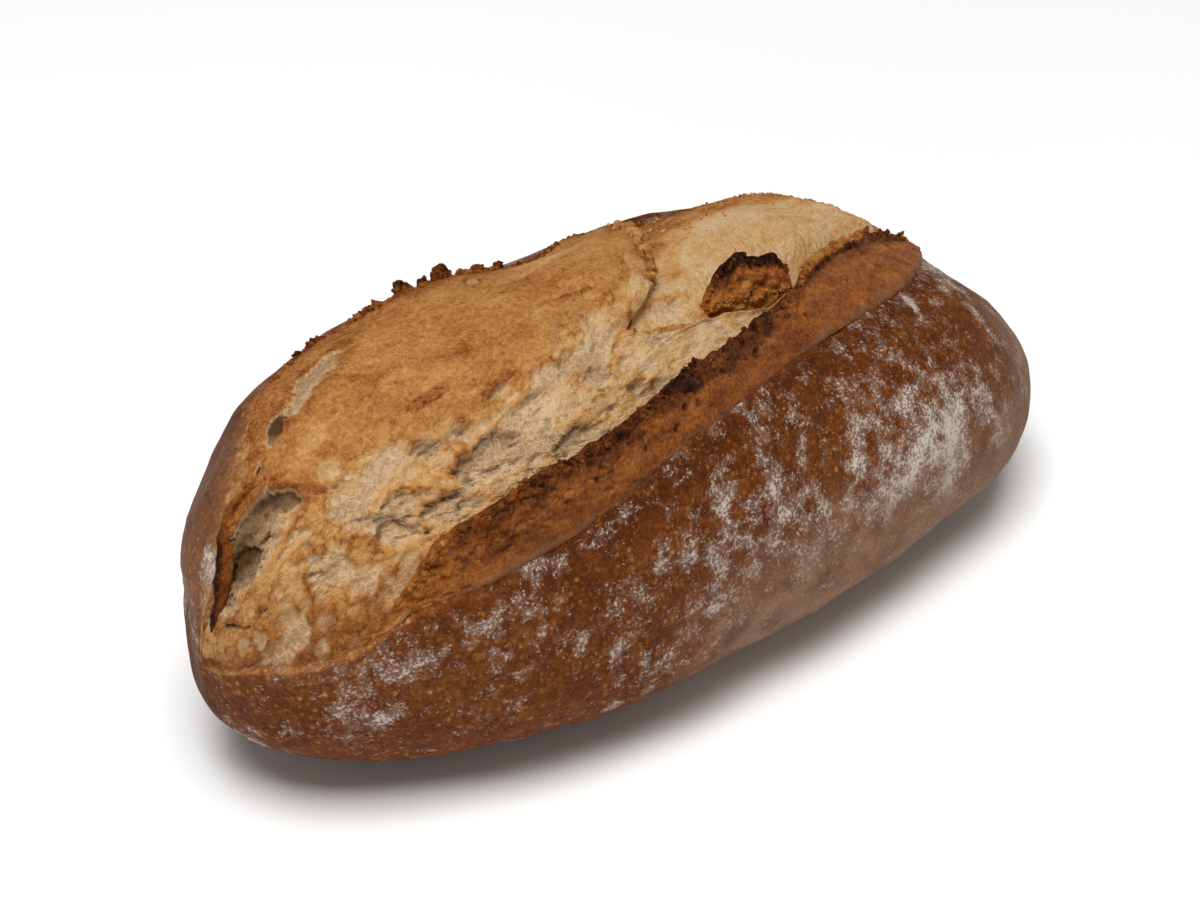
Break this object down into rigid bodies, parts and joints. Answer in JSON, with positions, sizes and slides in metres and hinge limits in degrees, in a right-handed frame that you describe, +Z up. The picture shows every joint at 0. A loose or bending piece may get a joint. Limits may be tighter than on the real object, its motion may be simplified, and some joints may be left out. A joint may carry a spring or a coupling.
{
  "type": "country loaf",
  "caption": "Oval hearth-baked country loaf with a floured brown crust, a raised ear along its long top split and torn golden crumb.",
  "frame": {"origin": "middle of the loaf's bounding box in plan, on the surface it rests on", "axes": "+X along the loaf from the pointed, taller left end to the blunt right end, -Y towards the floured side with the ear, +Z up"},
  "size_m": [0.2706, 0.1466, 0.1071],
  "materials": {
    "crust": "matte brown baked crust with flour, golden and pale where the split shows the crumb"
  },
  "bodies": {
    "root": {"loaf": "crust"}
  },
  "joints": []
}
